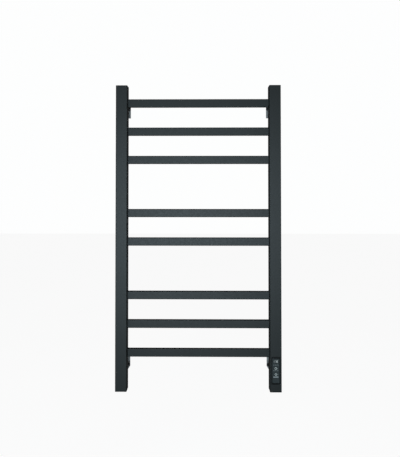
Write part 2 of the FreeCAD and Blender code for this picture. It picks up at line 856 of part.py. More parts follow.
def build_housing():
    """Tub behind the bezel, with screw bosses to the post's back wall and cable openings."""
    body = new_body("control_housing")
    tub = new_sketch(body, "XZ_Plane", "-bezel_depth")
    draw_rectangle(tub, "housing_width", "housing_length", y="panel_drop")
    pad(body, tub, "housing_back - bezel_depth", backwards=True)
    inside = new_sketch(body, "XZ_Plane", "-bezel_depth")
    draw_rectangle(inside, "housing_width - 2 * housing_wall",
                   "housing_length - 2 * housing_wall", y="panel_drop")
    pocket(body, inside, "housing_back - bezel_depth - housing_wall")
    bosses = new_sketch(body, "XZ_Plane", "-(housing_back - housing_wall / 2)")
    for rise in BOSS_RISES:
        draw_circle(bosses, "boss_radius", y=rise)
    pad(body, bosses, "post_depth - post_wall - housing_back + housing_wall / 2", backwards=True)
    pilots = new_sketch(body, "XZ_Plane", "-(post_depth - post_wall)")
    for rise in BOSS_RISES:
        draw_circle(pilots, "housing_screw_radius + close_play", y=rise)
    pocket(body, pilots, "post_depth - post_wall - housing_back", forwards=True)
    lead_hole = new_sketch(body, "XZ_Plane", "-housing_back")
    draw_circle(lead_hole, "lead_hole_radius", "earth_side", "terminal_rise")
    pocket(body, lead_hole, "housing_wall + overrun", forwards=True)
    cable_slot = new_sketch(body, "XY_Plane", "panel_drop + housing_length / 2")
    draw_rectangle(cable_slot, "grommet_width - 2 * grommet_rim",
                   "grommet_depth - 2 * grommet_rim", y="grommet_middle")
    pocket(body, cable_slot, "housing_wall + overrun")
    return keep(place_in_control(body), "control_housing")


def build_grommet():
    """Soft grommet in the top of the housing that both ends of the heating cable pass through."""
    body = new_body("cable_grommet")
    top = "(panel_drop + housing_length / 2)"
    neck = new_sketch(body, "XY_Plane", top + " - housing_wall")
    draw_rectangle(neck, "grommet_width - 2 * grommet_rim - 2 * loose_play",
                   "grommet_depth - 2 * grommet_rim - 2 * loose_play", y="grommet_middle")
    pad(body, neck, "housing_wall + loose_play")
    rim = new_sketch(body, "XY_Plane", top)
    draw_rectangle(rim, "grommet_width", "grommet_depth", y="grommet_middle")
    pad(body, rim, "grommet_height - housing_wall")
    dress(body, "Fillet", "bezel_edge", lies_at(2, amount(top + " + grommet_height - housing_wall")))
    bores = new_sketch(body, "XY_Plane", top + " + grommet_height")
    for lane in ("supply_lane", "return_lane"):
        draw_circle(bores, "cable_radius + close_play", y=lane)
    pocket(body, bores, "2 * grommet_height")
    return keep(place_in_control(body), "cable_grommet")


def build_housing_screws():
    """Pan-head screws through the post's back wall into the housing's bosses."""
    screws = []
    for rise in BOSS_RISES:
        head = rod("housing_screw_head", "housing_screw_head", "housing_screw_head_height",
                   y="post_depth", turn=ALONG_Y)
        shank = rod("housing_screw_shank", "housing_screw_radius", "housing_screw_reach",
                    y="post_depth - housing_screw_reach", turn=ALONG_Y)
        screw = join("housing_screw", [head, shank])
        screws.append(place(screw, z=rise))
    return keep(place_in_control(gather("housing_screws", screws)), "housing_screws")


# ---------------------------------------------------------------- heating and wiring

def cable_route():
    """Up from the housing, over a loop into the lowest rung, through them all and back down."""
    right = amount(POST_X)
    middle = amount(RUNG_MIDDLE)

    def in_post(depth, height):
        return FreeCAD.Vector(right, amount(depth), amount(height))

    end = "%s + cable_end_rise" % PANEL_Z
    clear = "%s + cable_clear_rise" % PANEL_Z
    loop_foot = "%s + loop_foot_rise" % PANEL_Z
    loop_top = "%s + loop_top_rise" % PANEL_Z
    supply = "%s + supply_lane" % POST_FRONT
    outward = FreeCAD.Vector(amount("loop_outward"), 0, 0)
    inward = FreeCAD.Vector(-amount("loop_inward"), 0, 0)
    points = [in_post(supply, end), in_post(supply, clear),
              in_post(RUNG_MIDDLE, loop_foot) + outward, in_post(RUNG_MIDDLE, loop_top) + outward,
              in_post(RUNG_MIDDLE, loop_top) + inward,
              in_post(RUNG_MIDDLE, rung_z("rung_8")) + inward]
    side = 1
    for rung in reversed(RUNG_STEPS):
        height = amount(rung_z(rung))
        if rung != "rung_8":
            points.append(FreeCAD.Vector(side * right, middle, height))
        points.append(FreeCAD.Vector(-side * right, middle, height))
        side = -side
    top = rung_z("rung_1")
    back = "%s + return_depth" % POST_FRONT
    lane = "%s + return_lane" % POST_FRONT
    points.append(in_post(RUNG_MIDDLE, top + " - return_turn"))
    points.append(in_post(back, top + " - return_turn - return_shift"))
    points.append(in_post(back, "%s + return_lane_high" % PANEL_Z))
    points.append(in_post(lane, "%s + return_lane_low" % PANEL_Z))
    points.append(in_post(lane, end))
    return points


def build_heating_cable():
    cable = swept_rod("heating_cable", cable_route(), amount("cable_radius"),
                      amount("cable_bend"))
    return keep(cable, "heating_cable")


def build_thermal_cutout():
    """Thermal cut-out against the outer wall of the right post."""
    case = block("cutout_case", "cutout_width", "cutout_depth", "cutout_length")
    fuse = soften("thermal_cutout", case, "panel_edge")
    place(fuse, POST_X + " + post_width / 2 - post_wall - cutout_width / 2", POST_MIDDLE,
          "cutout_height - rack_height / 2")
    return keep(fuse, "thermal_cutout")


def build_earth_bond():
    """Ring tag clamped to the post by a screw and nut, and its lead to the terminal block."""
    wall_face = "(post_depth - post_wall)"
    head = rod("earth_head", "earth_head_radius", "earth_head_height", y="post_depth",
               turn=ALONG_Y)
    shank = rod("earth_shank", "earth_screw_radius", "earth_screw_reach",
                y="post_depth - earth_screw_reach", turn=ALONG_Y)
    screw = place(join("earth_screw", [head, shank]), POST_X + " + earth_side", POST_FRONT,
                  PANEL_Z + " + earth_rise")
    keep(screw, "earth_screw")

    tag = new_body("earth_tag")
    plate = new_sketch(tag, "XZ_Plane", "-%s" % wall_face)
    draw_rectangle(plate, "tag_width", "tag_length")
    pad(tag, plate, "tag_thick")
    barrel = new_sketch(tag, "XY_Plane", "-tag_length / 2")
    draw_circle(barrel, "barrel_radius", y=wall_face + " - barrel_radius")
    pad(tag, barrel, "barrel_length", backwards=True)
    root = new_sketch(tag, "XY_Plane", "-tag_length / 2")
    draw_rectangle(root, "barrel_radius", "tag_thick", y=wall_face + " - tag_thick / 2")
    pad(tag, root, "barrel_length", side="Symmetric")
    hole = new_sketch(tag, "XZ_Plane", "-post_depth")
    draw_circle(hole, "earth_screw_radius + loose_play")
    pocket(tag, hole, "post_depth / 2", forwards=True)
    bore = new_sketch(tag, "XY_Plane", "-(tag_length / 2 + barrel_length)")
    draw_circle(bore, "lead_radius + close_play", y=wall_face + " - barrel_radius")
    pocket(tag, bore, "barrel_length - barrel_end", forwards=True)
    keep(place(tag, POST_X + " + earth_side", POST_FRONT, PANEL_Z + " + earth_rise"), "earth_tag")

    nut = new_body("earth_nut")
    hexagon(nut, "earth_head_radius", "-%s + tag_thick" % wall_face, "earth_nut_height", False,
            "earth_screw_radius + close_play")
    keep(place(nut, POST_X + " + earth_side", POST_FRONT, PANEL_Z + " + earth_rise"), "earth_nut")

    x = amount(POST_X + " + earth_side")
    front = amount(POST_FRONT)
    lane = front + amount(wall_face + " - barrel_radius")
    tag_low = amount(PANEL_Z + " + earth_rise - tag_length / 2 - barrel_length + lead_grip")
    entry = amount(PANEL_Z + " + terminal_rise")
    points = [FreeCAD.Vector(x, lane, tag_low), FreeCAD.Vector(x, lane, entry),
              FreeCAD.Vector(x, front + amount("lead_end"), entry)]
    keep(swept_rod("earth_lead", points, amount("lead_radius"), amount("lead_bend")), "earth_lead")


def hexagon(body, half_across, offset, height, backwards, bore):
    """Hexagonal nut across the Y axis, with a plain bore."""
    sketch = new_sketch(body, "XZ_Plane", offset)
    reach = "%s * 2 / sqrt(3)" % half_across
    draw_outline(sketch, [
        (reach, "0"),
        (reach + " / 2", half_across),
        ("-%s / 2" % reach, half_across),
        ("-" + reach, "0"),
        ("-%s / 2" % reach, "-" + half_across),
        (reach + " / 2", "-" + half_across),
    ])
    pad(body, sketch, height, backwards=backwards)
    hole = new_sketch(body, "XZ_Plane")
    draw_circle(hole, bore)
    pocket(body, hole, "4 * post_depth", side="Symmetric")


def build_gland():
    """Gland, seal and nut in the post's back wall, where the supply cable would enter."""
    body = new_body("gland_body")
    revolve(body, [
        ("gland_bore_radius", "-gland_neck_reach"),
        ("gland_neck_radius", "-gland_neck_reach"),
        ("gland_neck_radius", "gland_seal_thick"),
        ("gland_flange_radius", "gland_seal_thick"),
        ("gland_flange_radius", "gland_seal_thick + gland_flange_thick"),
        ("gland_nose_radius", "gland_seal_thick + gland_flange_thick"),
        ("gland_nose_radius", "gland_seal_thick + gland_flange_thick + gland_nose_length"),
        ("gland_bore_radius", "gland_seal_thick + gland_flange_thick + gland_nose_length"),
    ])

    flange_back = amount("gland_seal_thick + gland_flange_thick")
    nose_end = flange_back + amount("gland_nose_length")
    flange_radius, nose_radius = amount("gland_flange_radius"), amount("gland_nose_radius")

    def outer_rim(edge):
        radius = edge.BoundBox.XMax
        on_flange = lies_at(1, flange_back)(edge) and abs(radius - flange_radius) < TINY
        return on_flange or lies_at(1, nose_end)(edge) and abs(radius - nose_radius) < TINY

    dress(body, "Fillet", "gland_edge", outer_rim)
    keep(place(body, POST_X, "-wall_gap", GLAND_Z), "gland_body")

    seal = new_body("gland_seal")
    ring = new_sketch(seal, "XZ_Plane")
    draw_circle(ring, "gland_seal_radius")
    draw_circle(ring, "gland_neck_radius + gland_play")
    pad(seal, ring, "gland_seal_thick", backwards=True)
    keep(place(seal, POST_X, "-wall_gap", GLAND_Z), "gland_seal")

    nut = new_body("gland_nut")
    hexagon(nut, "(gland_nut_across / 2)", "post_wall", "gland_nut_height", False,
            "gland_neck_radius + gland_play")
    keep(place(nut, POST_X, "-wall_gap", GLAND_Z), "gland_nut")


# ---------------------------------------------------------------- whole rack

def build_rack():
    build_post("left_post", "-", inner_is_right=True)
    open_for_control(build_post("right_post", "", inner_is_right=False))
    for rung in RUNG_STEPS:
        build_rung(rung)
    for side_name, side in (("left", "-"), ("right", "")):
        build_cap(side_name + "_top_cap", side, at_top=True)
        build_cap(side_name + "_bottom_cap", side, at_top=False)
        for level, up in (("upper", ""), ("lower", "-")):
            corner = "%s_%s" % (level, side_name)
            build_wall_plate("wall_plate_" + corner, side, at_top=up == "")
            build_standoff_bar("standoff_bar_" + corner, side, up)
            build_post_socket("post_socket_" + corner, side, up)
    build_bar_screws()
    build_lock_screws()
    build_bezel()
    build_panel()
    build_gasket()
    build_display()
    build_light_guides()
    for name, rise in (("timer", "timer_rise"), ("power", "power_rise")):
        build_button(name + "_button", rise)
        build_switch(name, rise)
    build_board()
    build_terminals()
    build_housing()
    build_grommet()
    build_housing_screws()
    build_heating_cable()
    build_thermal_cutout()
    build_earth_bond()
    build_gland()


def check_everything():
    """Stop unless every object is sound and every sub-part is a valid closed shape."""
    doc.recompute()
    for thing in doc.Objects:
        if "Invalid" in thing.State or "Error" in thing.State:
            raise RuntimeError("%s failed: %s" % (thing.Name, thing.State))
    for piece in subparts:
        shape = piece.Shape
        if shape.isNull() or not shape.isValid() or not shape.Solids:
            raise RuntimeError(piece.Label + " has no valid solid")


build_rack()
check_everything()
os.makedirs("parts", exist_ok=True)
for piece in subparts:
    piece.Shape.exportStep("parts/%s.step" % piece.Label)
print(len(subparts), "sub-parts written")
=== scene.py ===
"""The looks of a wall-hung ladder towel warmer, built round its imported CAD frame.

Lengths are in metres and the front looks to -Y. The CAD nodes keep their shapes and take node
materials; welds, screws, button icons and digits are added as pieces that ride on the CAD bodies.
"""

import json
import math
import bmesh
import bpy
from mathutils import Matrix, Vector


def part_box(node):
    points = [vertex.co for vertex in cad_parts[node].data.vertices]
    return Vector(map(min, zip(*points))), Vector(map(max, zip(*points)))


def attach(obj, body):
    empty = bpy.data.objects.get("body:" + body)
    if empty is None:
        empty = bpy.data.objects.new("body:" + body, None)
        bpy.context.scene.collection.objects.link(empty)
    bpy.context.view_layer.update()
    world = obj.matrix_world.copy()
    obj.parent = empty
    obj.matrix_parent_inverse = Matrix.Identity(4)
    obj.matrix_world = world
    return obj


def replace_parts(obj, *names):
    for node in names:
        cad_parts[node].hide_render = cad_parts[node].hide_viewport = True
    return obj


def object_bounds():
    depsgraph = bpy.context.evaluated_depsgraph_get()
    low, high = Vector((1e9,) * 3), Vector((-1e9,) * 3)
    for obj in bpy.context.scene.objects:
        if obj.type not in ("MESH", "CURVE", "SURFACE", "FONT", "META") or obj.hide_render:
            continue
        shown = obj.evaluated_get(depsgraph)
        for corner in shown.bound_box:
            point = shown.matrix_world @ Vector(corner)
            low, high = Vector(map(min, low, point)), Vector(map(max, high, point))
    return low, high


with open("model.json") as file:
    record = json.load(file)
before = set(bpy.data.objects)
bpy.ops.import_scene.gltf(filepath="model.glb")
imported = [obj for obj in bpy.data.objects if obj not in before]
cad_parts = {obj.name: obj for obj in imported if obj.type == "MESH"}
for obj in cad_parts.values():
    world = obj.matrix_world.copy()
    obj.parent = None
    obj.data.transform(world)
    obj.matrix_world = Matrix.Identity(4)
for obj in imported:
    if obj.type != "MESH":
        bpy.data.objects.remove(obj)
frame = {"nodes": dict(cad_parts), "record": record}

scene = bpy.context.scene
nodes = frame["nodes"]
cad_low, cad_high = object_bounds()
MM = 0.001

# ---------------------------------------------------------------- materials


class Material:
    """A node material under construction: a Principled shader and the patterns that drive it."""

    def __init__(self, name, **constants):
        self.material = bpy.data.materials.new(name)
        self.material.use_nodes = True
        self.tree = self.material.node_tree
        self.shader = self.tree.nodes["Principled BSDF"]
        self.place = self.add("ShaderNodeTexCoord").outputs["Object"]
        for socket, value in constants.items():
            self.shader.inputs[socket.replace("_", " ")].default_value = value

    def add(self, kind, **settings):
        """A new node of that kind with those settings."""
        node = self.tree.nodes.new(kind)
        for key, value in settings.items():
            setattr(node, key, value)
        return node

    def link(self, output, target):
        """Joins one node's output to another's input."""
        self.tree.links.new(output, target)

    def stretched(self, factors):
        """Object coordinates scaled by three factors, for patterns that run along one axis."""
        mapping = self.add("ShaderNodeMapping")
        mapping.inputs["Scale"].default_value = factors
        self.link(self.place, mapping.inputs["Vector"])
        return mapping.outputs["Vector"]

    def noise(self, size, detail=2.0, place=None):
        """Noise whose blobs are about size metres across, from 0 to 1."""
        node = self.add("ShaderNodeTexNoise")
        node.inputs["Scale"].default_value = 1 / size
        node.inputs["Detail"].default_value = detail
        self.link(place or self.place, node.inputs["Vector"])
        return node.outputs["Fac"]

    def cells(self, size):
        """Distance to the nearest of points about size metres apart."""
        node = self.add("ShaderNodeTexVoronoi")
        node.inputs["Scale"].default_value = 1 / size
        self.link(self.place, node.inputs["Vector"])
        return node.outputs["Distance"]

    def bands(self, size, direction, distortion=0.0):
        """Soft stripes across that direction."""
        node = self.add("ShaderNodeTexWave", bands_direction=direction)
        node.inputs["Scale"].default_value = 1 / size
        node.inputs["Distortion"].default_value = distortion
        self.link(self.place, node.inputs["Vector"])
        return node.outputs["Fac"]

    def ranged(self, pattern, low, high, start=0.3, end=0.7):
        """Maps a pattern's span from start to end onto low to high."""
        node = self.add("ShaderNodeMapRange")
        limits = {"From Min": start, "From Max": end, "To Min": low, "To Max": high}
        for name, value in limits.items():
            node.inputs[name].default_value = value
        self.link(pattern, node.inputs["Value"])
        return node.outputs["Result"]

    def mixed(self, share, first, second):
        """A colour between first and second, each a colour or another node's output."""
        node = self.add("ShaderNodeMix", data_type="RGBA")
        self.link(share, node.inputs["Factor"])
        sockets = [s for s in node.inputs if s.type == "RGBA"]
        for socket, colour in zip(sockets, (first, second)):
            if isinstance(colour, tuple):
                socket.default_value = (*colour, 1)
            else:
                self.link(colour, socket)
        return next(s for s in node.outputs if s.type == "RGBA")

    def colour(self, output):
        """Sends a pattern's colour to the shader."""
        self.link(output, self.shader.inputs["Base Color"])

    def roughness(self, output):
        """Sends a pattern's value to the shader's roughness."""
        self.link(output, self.shader.inputs["Roughness"])

    def bump(self, pattern, height, strength):
        """Adds relief of that height in metres on top of any bump added before."""
        node = self.add("ShaderNodeBump")
        node.inputs["Distance"].default_value = height
        node.inputs["Strength"].default_value = strength
        self.link(pattern, node.inputs["Height"])
        normal = self.shader.inputs["Normal"]
        if normal.links:
            self.link(normal.links[0].from_socket, node.inputs["Normal"])
        self.link(node.outputs["Normal"], normal)


def powder_coat(name, deep, pale, least_rough=0.5, most_rough=0.58):
    """Satin-matt powder coat: soft clouding, fine speckle, orange peel and a fine grain."""
    made = Material(name, Specular_IOR_Level=0.5)
    clouds = made.ranged(made.noise(0.07, 3), 0, 1)
    speckle = made.ranged(made.noise(0.0007, 1), 0.82, 1.12)
    tone = made.mixed(clouds, deep, pale)
    shaded = made.add("ShaderNodeVectorMath", operation="SCALE")
    made.link(tone, shaded.inputs[0])
    made.link(speckle, shaded.inputs["Scale"])
    made.colour(shaded.outputs["Vector"])
    made.roughness(made.ranged(made.noise(0.004, 2), least_rough, most_rough))
    made.bump(made.noise(0.0022, 1), 0.00005, 0.35)
    made.bump(made.noise(0.0006, 1), 0.00002, 0.35)
    return made.material


def moulded(name, deep, pale, rough, grain=0.0005, relief=0.00002, **constants):
    """Moulded plastic or rubber with a spark-eroded grain."""
    made = Material(name, **constants)
    made.colour(made.mixed(made.ranged(made.noise(0.012, 3), 0, 1), deep, pale))
    made.roughness(made.ranged(made.noise(grain * 6, 2), rough - 0.05, rough + 0.05))
    made.bump(made.cells(grain), relief, 0.5)
    return made.material


def plated(name, deep, pale, rough):
    """Turned or rolled metal: fine lines across Z and a cloudy plating."""
    made = Material(name, Metallic=1.0)
    lines = made.noise(0.0016, 2, place=made.stretched((1, 1, 12)))
    clouds = made.noise(0.006, 3)
    made.colour(made.mixed(made.ranged(clouds, 0, 1), deep, pale))
    made.roughness(made.ranged(lines, rough - 0.08, rough + 0.08))
    made.bump(lines, 0.00001, 0.4)
    return made.material


def laminate(name):
    """Circuit board: solder mask over a woven glass base with copper tracks below."""
    made = Material(name, Coat_Weight=0.4, Coat_Roughness=0.2)
    weave = made.ranged(made.bands(0.004, "X"), 0, 1, 0.2, 0.8)
    tracks = made.ranged(made.bands(0.011, "Z", 6.0), 0, 1, 0.55, 0.6)
    base = made.mixed(weave, (0.012, 0.09, 0.04), (0.018, 0.12, 0.055))
    made.colour(made.mixed(tracks, base, (0.03, 0.2, 0.085)))
    made.roughness(made.ranged(made.noise(0.003, 2), 0.3, 0.42))
    made.bump(tracks, 0.00004, 0.5)
    return made.material


def lens(name):
    """Smoked clear cover over the digits: its clearness is set on the shader."""
    made = Material(name, Alpha=0.25, Coat_Weight=0.3, Coat_Roughness=0.08)
    clouds = made.ranged(made.noise(0.005, 2), 0, 1)
    made.colour(made.mixed(clouds, (0.030, 0.033, 0.035), (0.042, 0.046, 0.048)))
    made.roughness(made.ranged(made.noise(0.003, 2), 0.16, 0.24))
    return made.material


def glowing(name, deep, pale, light, strength):
    """Pale frosted plastic with a little light of its own; on the printed icons and the idle digit this
    light is a painted glow, as neither is a lamp.
    """
    made = Material(name, Emission_Strength=strength)
    made.shader.inputs["Emission Color"].default_value = (*light, 1)
    made.colour(made.mixed(made.ranged(made.noise(0.0012, 2), 0, 1), deep, pale))
    made.roughness(made.ranged(made.noise(0.001, 2), 0.42, 0.55))
    made.bump(made.cells(0.0004), 0.00001, 0.4)
    return made.material


def striped(name):
    """Insulation of an earth lead: green with yellow bands."""
    made = Material(name)
    stripes = made.ranged(made.bands(0.02, "DIAGONAL"), 0, 1, 0.45, 0.55)
    made.colour(made.mixed(stripes, (0.02, 0.22, 0.03), (0.6, 0.5, 0.02)))
    made.roughness(made.ranged(made.noise(0.002, 2), 0.4, 0.5))
    return made.material


MATERIALS = {
    # steelwork
    "powder_coat": powder_coat(
        "powder_coat", (0.0105, 0.0135, 0.0130), (0.0135, 0.0170, 0.0165), 0.46, 0.52
    ),
    "weld": powder_coat("weld", (0.018, 0.024, 0.026), (0.023, 0.030, 0.032), 0.46, 0.56),
    "bracket_grey": powder_coat("bracket_grey", (0.46, 0.47, 0.46), (0.54, 0.55, 0.54)),
    "zinc_steel": plated("zinc_steel", (0.46, 0.47, 0.47), (0.6, 0.61, 0.6), 0.34),
    "black_steel": plated("black_steel", (0.035, 0.036, 0.038), (0.06, 0.062, 0.066), 0.42),
    "tinned_brass": plated("tinned_brass", (0.52, 0.47, 0.35), (0.66, 0.6, 0.47), 0.36),

    # the control unit's front
    "black_plastic": moulded(
        "black_plastic", (0.006, 0.0065, 0.007), (0.009, 0.010, 0.0105), 0.56, Specular_IOR_Level=0.22
    ),
    "panel_gloss": moulded(
        "panel_gloss", (0.028, 0.037, 0.038), (0.038, 0.049, 0.050), 0.42, grain=0.0008, relief=0.000006
    ),
    "button_plastic": moulded("button_plastic", (0.020, 0.024, 0.026), (0.026, 0.030, 0.033), 0.48),
    "smoked_lens": lens("smoked_lens"),
    "display_grey": moulded("display_grey", (0.14, 0.155, 0.155), (0.18, 0.20, 0.20), 0.5),
    "light_diffuser": glowing(
        "light_diffuser", (0.42, 0.45, 0.45), (0.52, 0.55, 0.55), (0.8, 0.9, 1), 0.05
    ),
    # painted glow: the printed ink emits a little light though it is no lamp, which lifts the icons above
    # the panel
    "print_grey": glowing(
        "print_grey", (0.68, 0.72, 0.70), (0.78, 0.82, 0.80), (0.8, 0.95, 0.9), 0.16
    ),
    "digit_lit": glowing("digit_lit", (0.7, 0.73, 0.73), (0.8, 0.83, 0.83), (0.8, 0.9, 0.9), 0.7),
    # painted glow: the idle digit is not lit, yet its segments emit a faint light
    "digit_idle": glowing("digit_idle", (0.5, 0.53, 0.53), (0.6, 0.63, 0.63), (0.8, 0.9, 0.9), 0.15),

    # inside
    "led_white": moulded("led_white", (0.66, 0.66, 0.6), (0.78, 0.78, 0.73), 0.35),
    "soft_rubber": moulded(
        "soft_rubber", (0.018, 0.018, 0.019), (0.03, 0.03, 0.031), 0.72, grain=0.0009
    ),
    "switch_plastic": moulded("switch_plastic", (0.02, 0.02, 0.021), (0.032, 0.032, 0.033), 0.5),
    "plunger_nylon": moulded("plunger_nylon", (0.62, 0.62, 0.57), (0.72, 0.72, 0.68), 0.45),
    "board_laminate": laminate("board_laminate"),
    "relay_blue": moulded("relay_blue", (0.02, 0.07, 0.2), (0.03, 0.1, 0.27), 0.4),
    "component_grey": moulded("component_grey", (0.09, 0.09, 0.09), (0.13, 0.13, 0.13), 0.5),
    "terminal_green": moulded("terminal_green", (0.035, 0.22, 0.1), (0.05, 0.3, 0.15), 0.42),
    "cable_silicone": moulded(
        "cable_silicone", (0.36, 0.34, 0.31), (0.46, 0.44, 0.4), 0.6, grain=0.0009
    ),
    "earth_green_yellow": striped("earth_green_yellow"),
}

SLOT_OF_NODE = {part["node"]: part["material_slot"] for part in frame["record"]["subparts"]}


def dress_cad_nodes():
    """Every CAD node keeps its shape and takes the procedural material of its own slot."""
    for name, node in nodes.items():
        for holder in node.material_slots:
            holder.material = MATERIALS[SLOT_OF_NODE[name]]


# ---------------------------------------------------------------- mesh building


CREASE = math.radians(35)
TURN_STEPS = 48
BEAD_SIDES = 8


def add_piece(name, solid, look, body="frame"):
    """Makes a bmesh into a piece that rides on a CAD body. Edges sharper than CREASE stay crisp."""
    bmesh.ops.recalc_face_normals(solid, faces=solid.faces)
    mesh = bpy.data.meshes.new(name)
    solid.to_mesh(mesh)
    solid.free()
    mesh.shade_smooth()
    mesh.set_sharp_from_angle(angle=CREASE)
    mesh.materials.append(MATERIALS[look])
    piece = bpy.data.objects.new(name, mesh)
    scene.collection.objects.link(piece)
    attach(piece, body)
    return piece


def skin(solid, first, second):
    """Joins two rings of vertices of the same length, or a ring and a single pole."""
    count = max(len(first), len(second))
    for i in range(count):
        corners = (
            first[i % len(first)],
            first[(i + 1) % len(first)],
            second[(i + 1) % len(second)],
            second[i % len(second)],
        )
        solid.faces.new(list(dict.fromkeys(corners)))


def turned(solid, profile, centre, axis, steps=TURN_STEPS):
    """Adds a solid made of rings along an axis.

    Each profile entry is (radius, distance), where the radius is a number or a function of the
    angle; a radius of 0 closes the solid with a pole.
    """
    upright = Vector(axis).normalized().to_track_quat("Z", "Y").to_matrix().to_4x4()
    place = Matrix.Translation(centre) @ upright
    rings = []
    for radius, along in profile:
        if radius == 0:
            rings.append([solid.verts.new(place @ Vector((0, 0, along)))])
            continue
        ring = []
        for i in range(steps):
            angle = 2 * math.pi * i / steps
            reach = radius(angle) if callable(radius) else radius
            point = Vector((reach * math.cos(angle), reach * math.sin(angle), along))
            ring.append(solid.verts.new(place @ point))
        rings.append(ring)
    for first, second in zip(rings, rings[1:]):
        skin(solid, first, second)


def hexagonal(across_flats):
    """Radius of a hexagon at any angle."""
    def radius(angle):
        return across_flats / 2 / math.cos((angle + math.pi / 6) % (math.pi / 3) - math.pi / 6)
    return radius


def crossed(length, width):
    """Radius of a cross recess with arms of that length and width, measured from the middle."""
    def radius(angle):
        folded = angle % (math.pi / 2)
        folded = min(folded, math.pi / 2 - folded)
        return min(length / math.cos(folded), width / max(math.sin(folded), 1e-6))
    return radius


def knurled(radius, depth, ridges):
    """Radius of a rim with that many fine ridges."""
    def reach(angle):
        return radius - depth * (0.5 + 0.5 * math.cos(ridges * angle))
    return reach


def rounded_outline(width, height, corner, corner_steps, straight_step):
    """Points round a rectangle with round corners, anticlockwise, centred on the origin.

    Each corner has corner_steps chords, and the straights are split about every straight_step.
    """
    points = []
    for quarter, (right, up) in enumerate(((1, 1), (-1, 1), (-1, -1), (1, -1))):
        middle = Vector((right * (width / 2 - corner), up * (height / 2 - corner)))
        for i in range(corner_steps + 1):
            angle = math.pi / 2 * (quarter + i / corner_steps)
            points.append(middle + corner * Vector((math.cos(angle), math.sin(angle))))
    filled = []
    for point, following in zip(points, points[1:] + points[:1]):
        pieces = max(1, round((following - point).length / straight_step))
        filled += [point.lerp(following, i / pieces) for i in range(pieces)]
    return filled


def bead(solid, points, radius, ripple, ripple_pitch=1.6 * MM):
    """Adds a closed round bead along a loop of points in one plane, its radius gently rippled."""
    count = len(points)
    to_third = points[count // 3] - points[0]
    to_two_thirds = points[2 * count // 3] - points[0]
    normal = to_third.cross(to_two_thirds).normalized()
    rings = []
    travelled = 0.0
    for i, point in enumerate(points):
        ahead = (points[(i + 1) % count] - points[i - 1]).normalized()
        outward = ahead.cross(normal)
        reach = radius + ripple * math.sin(2 * math.pi * travelled / ripple_pitch)
        ring = []
        for k in range(BEAD_SIDES):
            angle = 2 * math.pi * k / BEAD_SIDES
            spoke = math.cos(angle) * outward + math.sin(angle) * normal
            ring.append(solid.verts.new(point + reach * spoke))
        rings.append(ring)
        travelled += (points[(i + 1) % count] - point).length
    for first, second in zip(rings, rings[1:] + rings[:1]):
        skin(solid, first, second)


def band(solid, inner, outer, front, thick, closed=False):
    """Adds a flat mark on a face that looks to -Y. inner and outer are matched lists of (x, z)."""
    def layer(outline, y):
        return [solid.verts.new((x, y, z)) for x, z in outline]
    back = front + thick
    edges = [layer(inner, front), layer(outer, front), layer(outer, back), layer(inner, back)]
    steps = len(inner) if closed else len(inner) - 1
    for first, second in zip(edges, edges[1:] + edges[:1]):
        for i in range(steps):
            j = (i + 1) % len(inner)
            solid.faces.new((first[i], first[j], second[j], second[i]))
    if not closed:
        for end in (0, -1):
            solid.faces.new([edge[end] for edge in edges])


def arc_mark(solid, x, z, small, large, front, thick, start=0, end=360):
    """Adds a flat ring, or part of one, between two radii and two angles in degrees."""
    closed = end - start == 360
    degrees_per_chord = 7.5
    count = int((end - start) / degrees_per_chord)
    steps = count if closed else count + 1
    angles = [math.radians(start + (end - start) * i / count) for i in range(steps)]
    inner = [(x + small * math.cos(a), z + small * math.sin(a)) for a in angles]
    outer = [(x + large * math.cos(a), z + large * math.sin(a)) for a in angles]
    band(solid, inner, outer, front, thick, closed)


def stroke_mark(solid, start, end, width, front, thick):
    """Adds a flat stroke with round ends from one (x, z) point to another."""
    start = Vector(start)
    end = Vector(end)
    along = (end - start).normalized()
    across = Vector((-along.y, along.x)) * width / 2
    end_steps = (0.0, 0.7, 1.0)
    nearly_round = 0.998
    one_side = []
    other_side = []
    for centre, forward, shares in ((start, -1, reversed(end_steps)), (end, 1, end_steps)):
        for share in shares:
            half = math.sqrt(1 - nearly_round * share * share)
            tip = centre + along * forward * share * width / 2
            one_side.append(tip - across * half)
            other_side.append(tip + across * half)
    band(solid, one_side, other_side, front, thick)


# ---------------------------------------------------------------- steelwork

RUNGS = sorted(name for name in nodes if name.startswith("rung_"))
CORNERS = ("upper_left", "upper_right", "lower_left", "lower_right")


def centre_of(name):
    """The middle of a node's box."""
    low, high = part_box(name)
    return (low + high) / 2


def add_rung_welds():
    """A fine bead where each rung runs into the inner side of the two posts."""
    bead_radius = 0.8 * MM
    rung_corner = 2 * MM
    inner_faces = (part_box("left_post")[1].x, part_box("right_post")[0].x)
    for name in RUNGS:
        low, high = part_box(name)
        middle = (low + high) / 2
        outline = rounded_outline(high.y - low.y, high.z - low.z, rung_corner, 4, bead_radius)
        solid = bmesh.new()
        for x in inner_faces:
            loop = [Vector((x, middle.y + p.x, middle.z + p.y)) for p in outline]
            bead(solid, loop, bead_radius, 0.06 * MM)
        add_piece(name.replace("rung", "rung_welds"), solid, "weld")


def add_socket_welds():
    """A bead round each bracket socket where it stands on the back of its post."""
    bead_radius = 1.3 * MM
    socket_corner = 1.5 * MM
    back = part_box("left_post")[1].y
    for corner in CORNERS:
        low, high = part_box("post_socket_" + corner)
        middle = (low + high) / 2
        outline = rounded_outline(high.x - low.x, high.z - low.z, socket_corner, 3, 0.9 * MM)
        loop = [Vector((middle.x + p.x, back, middle.z + p.y)) for p in outline]
        solid = bmesh.new()
        bead(solid, loop, bead_radius, 0.12 * MM, 2 * MM)
        add_piece("socket_weld_" + corner, solid, "weld")


